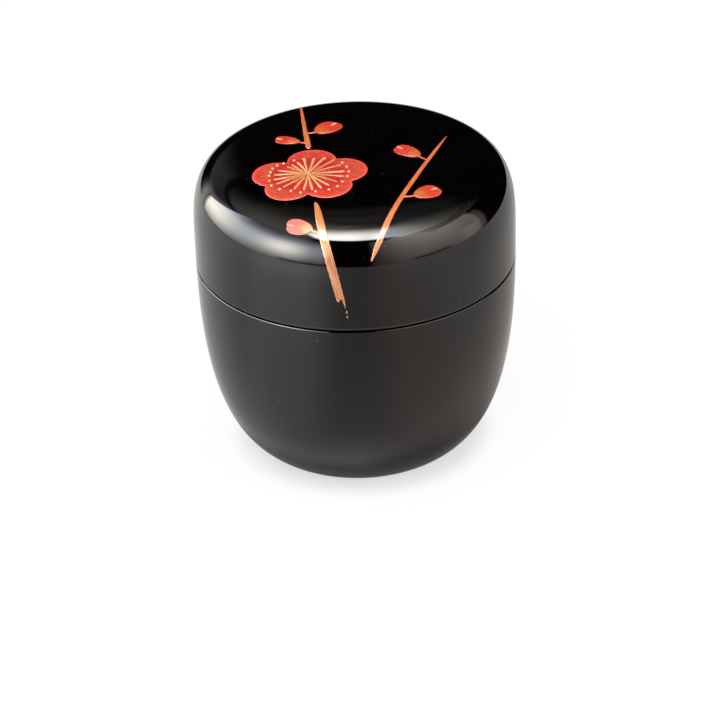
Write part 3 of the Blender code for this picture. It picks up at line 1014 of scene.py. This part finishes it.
# Painted highlight: filaments that run to the front or back get a paler tone for the light they catch.
front_back_highlight = pale.smooth(behind * behind / (aside * aside + behind * behind), 0.35, 0.8)
base_pale = pale.mix(front_back_highlight * 0.45, base_pale, rgb(244, 208, 142))
on_drop = pale.smooth(pale.attribute("along"), FILAMENT_LENGTH + 0.5, PAST_TIP - 0.5)
base_pale = pale.mix(on_drop, base_pale, rgb(230, 188, 130))
sparkled = pale.mix(pale.smooth(powder, 0.58, 0.75) * 0.2, base_pale, rgb(238, 208, 140))
normal = pale.relief(powder, 0.4)
pale_gold_lacquer = pale.surface(sparkled, 0.3 + 0.12 * powder, normal)

dress(blossom, vermilion_lacquer)
dress(stamens, pale_gold_lacquer)
for stroke in (upper_branch, right_branch, lower_branch):
    dress(stroke, gold_lacquer)
for name in BUDS:
    dress(bpy.data.objects[f"{name}_petals"], vermilion_lacquer)
    dress(bpy.data.objects[f"{name}_gold"], cup_lacquer)
dress(specks, gold_lacquer)
print("finishes:", ", ".join(material.name for material in bpy.data.materials if material.users))

# %% [markdown]
# ## Floor
# The caddy stands on plain white paper. To the camera the paper is white, with some real paper mixed
# in, more of it near the foot, so that the caddy's own shadow still falls there.

# %% Lay the paper
FLOOR_SIZE = 6.0
NEAR_WHITE = 0.6
FAR_WHITE = 0.93
select_only()
bpy.ops.mesh.primitive_plane_add(size=FLOOR_SIZE, location=(0.0, 0.0, 0.0))
floor = named("paper_floor")

paper = Finish("white_paper")
x, y, _ = paper.parts(paper.coordinates())
x = x / MM
toward = y * (-1.0 / MM)
from_foot = paper.length(paper.vector(x, toward, 0.0))
whiteness = NEAR_WHITE + (FAR_WHITE - NEAR_WHITE) * paper.smooth(from_foot, 23.5, 30.0)
matt = paper.node("BsdfDiffuse", {"Color": (0.97, 0.97, 0.97, 1.0)})
print("floor:", FLOOR_SIZE, "m across")

# %% [markdown]
# In the lacquer's reflections the paper's glow carries painted light and painted shadow: a painted
# pool of light towards the soft box on the left, a weaker one towards the one on the right, dim in
# front, where nothing lights it, and a painted shadow close to the foot, with a faint painted band of
# light just in front of it. This is what puts the quiet tone on the caddy's side. Its colour drifts a
# little from place to place and is warmer on the right.

# %% Light the paper in the reflections
turn = paper.degrees_round(x, toward)
leftward = turn * -1
shade_end = 31.5 + 0.45 * paper.maths("MAXIMUM", x, 0)
# Painted shadow: the paper's glow in the reflections darkens close to the foot.
painted_foot_shadow = 0.13 + 0.87 * paper.smooth(from_foot, 24, shade_end)
# A faint painted band of light just in front of the foot.
painted_light_band = 0.4 * paper.bump_at(x, -2, 12) * paper.bump_at(from_foot, 30.5, 9.5)
middle = 0.5 + 0.09 * paper.fall(from_foot, 45, 100)
left_climb = 0.0078 - 0.004 * paper.smooth(leftward, 58, 80)
left_reach = paper.maths("MINIMUM", from_foot - 12, 200)
left = paper.smooth(leftward, 6, 36) * paper.fall(leftward, 140, 170)
left = left * left_reach * left_climb
right_reach = 0.11 + 0.0012 * paper.maths("MINIMUM", from_foot, 300)
right = paper.smooth(turn, 2, 32) * paper.fall(turn, 140, 175)
right = right * (1 - 0.35 * paper.smooth(turn, 62, 85)) * right_reach
painted_floor_light = painted_foot_shadow * (middle + painted_light_band + left + right)

seen, mirrored, through = paper.rays("Camera", "Glossy", "Transmission")
drift = paper.smooth(paper.noise(paper.coordinates(), 16, 2), 0.35, 0.65)
tint = paper.mix(drift, (1, 0.97, 0.9, 1), (1, 0.945, 0.99, 1))
tint = paper.mix(paper.bump_at(x, 45, 45), tint, (1, 0.89, 0.81, 1))
tint = paper.mix(mirrored, (1, 1, 1, 1), tint)
glow_colour = paper.scaled(tint, 1 + mirrored * (painted_floor_light - 1))
white = paper.node("Emission", {"Color": glow_colour})
shown = (seen + mirrored + through) * whiteness
sheet = paper.node("MixShader", {0: shown, 1: matt, 2: white})
paper.node("OutputMaterial", {"Surface": sheet})
dress(floor, paper.material)
print("nodes in the paper:", len(paper.tree.nodes))

# %% [markdown]
# ## Light tent
# Black lacquer has almost no colour of its own: what is seen on it is the room. The room here is a
# round tent, open at the floor, that only mirror rays can see. Its back is dark, which leaves
# the lid black. Light on its cloth is placed by two angles from the middle of the tent: the turn from
# the front, which grows to the right, and the rise over the horizon.

# %% Pitch the tent
TENT_RADIUS = 0.40
TENT_CENTRE = 0.045
select_only()
bpy.ops.mesh.primitive_uv_sphere_add(
    segments=96, ring_count=48, radius=TENT_RADIUS, location=(0.0, 0.0, TENT_CENTRE)
)
tent = named("light_tent")
set_down(tent)
start_edit(tent)
bpy.ops.mesh.bisect(plane_co=(0.0, 0.0, 0.0), plane_no=(0.0, 0.0, 1.0), clear_inner=True)
end_edit()
for kind in ("camera", "diffuse", "transmission", "volume_scatter", "shadow"):
    setattr(tent, f"visible_{kind}", False)

cloth = Finish("tent_cloth")
centred = {"Vector": cloth.coordinates(), "Location": (0.0, 0.0, -TENT_CENTRE)}
centred = cloth.node("Mapping", centred)
toward_tent = cloth.node("VectorMath", {0: centred}, {"operation": "NORMALIZE"})
x, y, z = cloth.parts(toward_tent)
front = y * -1.0
turn = cloth.degrees_round(x, front)
rise = cloth.maths("ARCSINE", z) * math.degrees(1)
smooth, fall, between, bump_at = cloth.smooth, cloth.fall, cloth.between, cloth.bump_at
print("tent:", TENT_RADIUS * 2, "m across")

# %% [markdown]
# The wide soft box on the left makes the bright crescent on the lid's shoulder. It is a sheet that
# fades upwards, with a lamp behind it near its right end, and its back corner is cut off at
# a slant. The cloth over it glows faintly.

# %% Hang the left box
left_corner = turn + 126.5 - cloth.maths("MAXIMUM", rise - 14.2, 0)
left_width = smooth(left_corner, -2.5, 2.5) * fall(turn, -22.5, -17.5)
left_sheet = 8.6 - 4.5 * smooth(turn, -50, -27) + 4.3 * bump_at(turn, -110, 17)
left_top = 50 - 5 * smooth(turn, -108, -88)
left_sheet = left_sheet * smooth(rise, -16, 13) * fall(rise, 21, left_top)
left_lamp = 9.2 * bump_at(turn, -49.5, 17) * bump_at(rise, 14.5, 12.5)
left_back = 1.4 * bump_at(turn, -133, 6) * fall(rise, 8, 24)
left_box = left_width * (left_sheet + left_lamp) + left_back
left_haze = smooth(turn, -160, -88) * fall(turn, -42, -30)
left_haze = left_haze * smooth(rise, 34, 39)
left_haze = left_haze * (1.05 - 0.35 * smooth(rise, 50, 65))
behind_haze = 0.2 * between(turn, -160, -112, 8) * between(rise, 14, 33, 2)
corner_glow = 0.9 * bump_at(left_corner, -4.5, 4) * between(rise, 17, 33, 2)

# %% [markdown]
# The box on the right is dimmer and grows brighter upwards. Over it, past a narrow gap, the cloth
# carries the light of the overhead box down to the right.

# %% Hang the right box
over_x = x / z
over_front = front / z
right_top = 41 - 7 * smooth(turn, 48, 62)
over_right_top = smooth(rise - right_top, -1.2, 1.2)
right_width = smooth(turn, 8, 13) * fall(turn, 89, 96)
right_fall = smooth(turn, -4, 50) * (1 - 0.35 * smooth(turn, 66, 90))
right_box = right_width * right_fall * (1.85 + 0.068 * rise) * (1 - over_right_top)
right_end = 1.1 * bump_at(turn, 84, 9) * fall(rise, 6, 13)
right_end = right_end + 0.6 * between(turn, 90, 99, 1.5) * between(rise, -5, 29, 2)
low_haze = 0.68 * smooth(turn, 20, 40) * over_right_top
gap_end = rise - 4 * fall(turn, 28, 42)
high_haze = smooth(gap_end, 44, 46.6)
right_haze = low_haze + (1 - low_haze) * high_haze + 0.35 * bump_at(gap_end, 46.8, 1.3)
spread = 0.35 * fall(turn, 95, 125) + 8.6 * bump_at(turn, 25, 38)
right_haze = right_haze * spread * smooth(over_x, 0.2, 0.3) * smooth(turn, 12, 20)
right_haze = right_haze * (1 - 0.45 * smooth(rise, 64, 80))

# %% [markdown]
# The brightest box hangs overhead, towards the front. It is straight-edged, so its ends are measured
# on a level plane instead of in angles. Between the boxes is a dark gap, where the camera looks in.
# A dark line runs along the foot of both side boxes, where their frames stand on the floor.

# %% Hang the overhead box and light the cloth
strip = smooth(over_x, -0.53, -0.42) * fall(over_x, 0.255, 0.285)
strip = strip * smooth(over_front, 0.06, 0.58) * smooth(rise, 46, 50.3)
strip = strip * (25 - 5 * bump_at(over_x, 0.12, 0.1))
top_haze = 0.12 * smooth(rise, 46, 56) + 0.15 * smooth(rise, 60, 72)
top_haze = top_haze + 0.3 * smooth(rise, 82, 90)
top_haze = top_haze + 0.45 * smooth(over_front, -0.1, 0.12) * smooth(rise, 62, 76)
frames = between(turn, -53, -17, 4) + between(turn, 38, 66, 4)
over_frames = 1 - 0.75 * frames * bump_at(rise, -5.5, 2)
boxes = over_frames * (left_box + right_box + right_end)
glow = 0.003 + boxes + left_haze + behind_haze + corner_glow + right_haze + strip + top_haze

cool_edge = smooth(rise, 20, 33) * fall(rise, 38, 46)
cool_edge = cool_edge + 0.7 * smooth(turn, -42, -27)
cool_edge = cool_edge * fall(turn, -17, -12) * fall(rise, 42, 48)
cool_tail = between(turn, 22, 50, 6) * smooth(rise, 44, 48)
cool = cool_edge + cool_tail * smooth(over_x, 0.25, 0.3)
cool = cool + 0.6 * bump_at(turn, -78, 14) * fall(rise, 36, 46)
cool = cool + 0.5 * between(rise, 45, 53, 3) * between(turn, -45, 25, 5)
warm_box = smooth(turn, 8, 14) * fall(rise, 40, 48)
lamp_tone = cloth.mix(warm_box, (1, 0.967, 0.885, 1), (1, 0.88, 0.79, 1))
lamp_tone = cloth.mix(cloth.maths("MINIMUM", cool, 1), lamp_tone, (0.82, 0.89, 1, 1))
light = cloth.node("Emission", {"Color": cloth.scaled(lamp_tone, glow)})
cloth.node("OutputMaterial", {"Surface": light})
dress(tent, cloth.material)
print("nodes in the cloth:", len(cloth.tree.nodes))

# %% [markdown]
# ## Plain light for the colours
# The painted colours are lit by large soft lamps at a plain level, at which white paper comes out
# white and no more. They don't show in the lacquer, because the tent already stands for them there.

# %% Lamps and world
LAMPS = {
    "overhead_lamp": ((-0.25, -0.35, 1.1), 0.9, 8.6),
    "front_lamp": ((-0.35, -1.15, 0.6), 0.8, 7.0),
    "side_lamp": ((0.9, -0.4, 0.5), 0.7, 3.2),
    "back_lamp": ((0.2, 1.0, 0.8), 0.9, 4.0),
}
TARGET = Vector((0.0, 0.0, 0.03))
ROOM_LIGHT = 0.4
for name, (place, size, watts) in LAMPS.items():
    bpy.ops.object.light_add(type="AREA", location=place)
    lamp = named(name)
    lamp.data.shape = "SQUARE"
    lamp.data.size = size
    lamp.data.energy = watts
    lamp.rotation_euler = (TARGET - lamp.location).to_track_quat("-Z", "Y").to_euler()
    for kind in ("camera", "glossy", "transmission"):
        setattr(lamp, f"visible_{kind}", False)

world = bpy.data.worlds.new("white_room")
world.use_nodes = True
bpy.context.scene.world = world
room = Finish("white_room", world.node_tree)
seen, mirrored, through = room.rays("Camera", "Glossy", "Transmission")
level = ROOM_LIGHT + (seen + mirrored + through) * (1 - ROOM_LIGHT)
sky = room.node("Background", {"Color": room.vector(level, level, level)})
room.node("OutputWorld", {"Surface": sky})
print("lamps:", ", ".join(LAMPS))

# %% [markdown]
# ## Camera
# The photograph was taken with a long lens from a little above, so the sides of the caddy hardly
# converge. The camera stands where the outline, the seam and the foot of the model fall on the
# picture, and is rolled by under two degrees, because the picture hangs that little out of level.

# %% Set up the camera
CAMERA_PLACE = Vector((0.0, -0.5243, 0.3255))
CAMERA_AIM = Vector((0.0002, 0.0, 0.0167))
CAMERA_ROLL = -0.0305
FILM_WIDTH = 36.0
LENS_LENGTH = 144.1
NEAREST_SEEN = 10.0 * MM
bpy.ops.object.camera_add(location=CAMERA_PLACE)
camera = named("camera")
camera.data.sensor_width = FILM_WIDTH
camera.data.lens = LENS_LENGTH
camera.data.clip_start = NEAREST_SEEN
level_view = (CAMERA_AIM - CAMERA_PLACE).to_track_quat("-Z", "Y")
roll = Quaternion((0.0, 0.0, 1.0), CAMERA_ROLL)
camera.rotation_euler = (level_view @ roll).to_euler()
bpy.context.scene.camera = camera
bpy.context.scene.view_settings.view_transform = "Standard"
print("camera distance in mm:", round((CAMERA_PLACE - TARGET).length / MM))
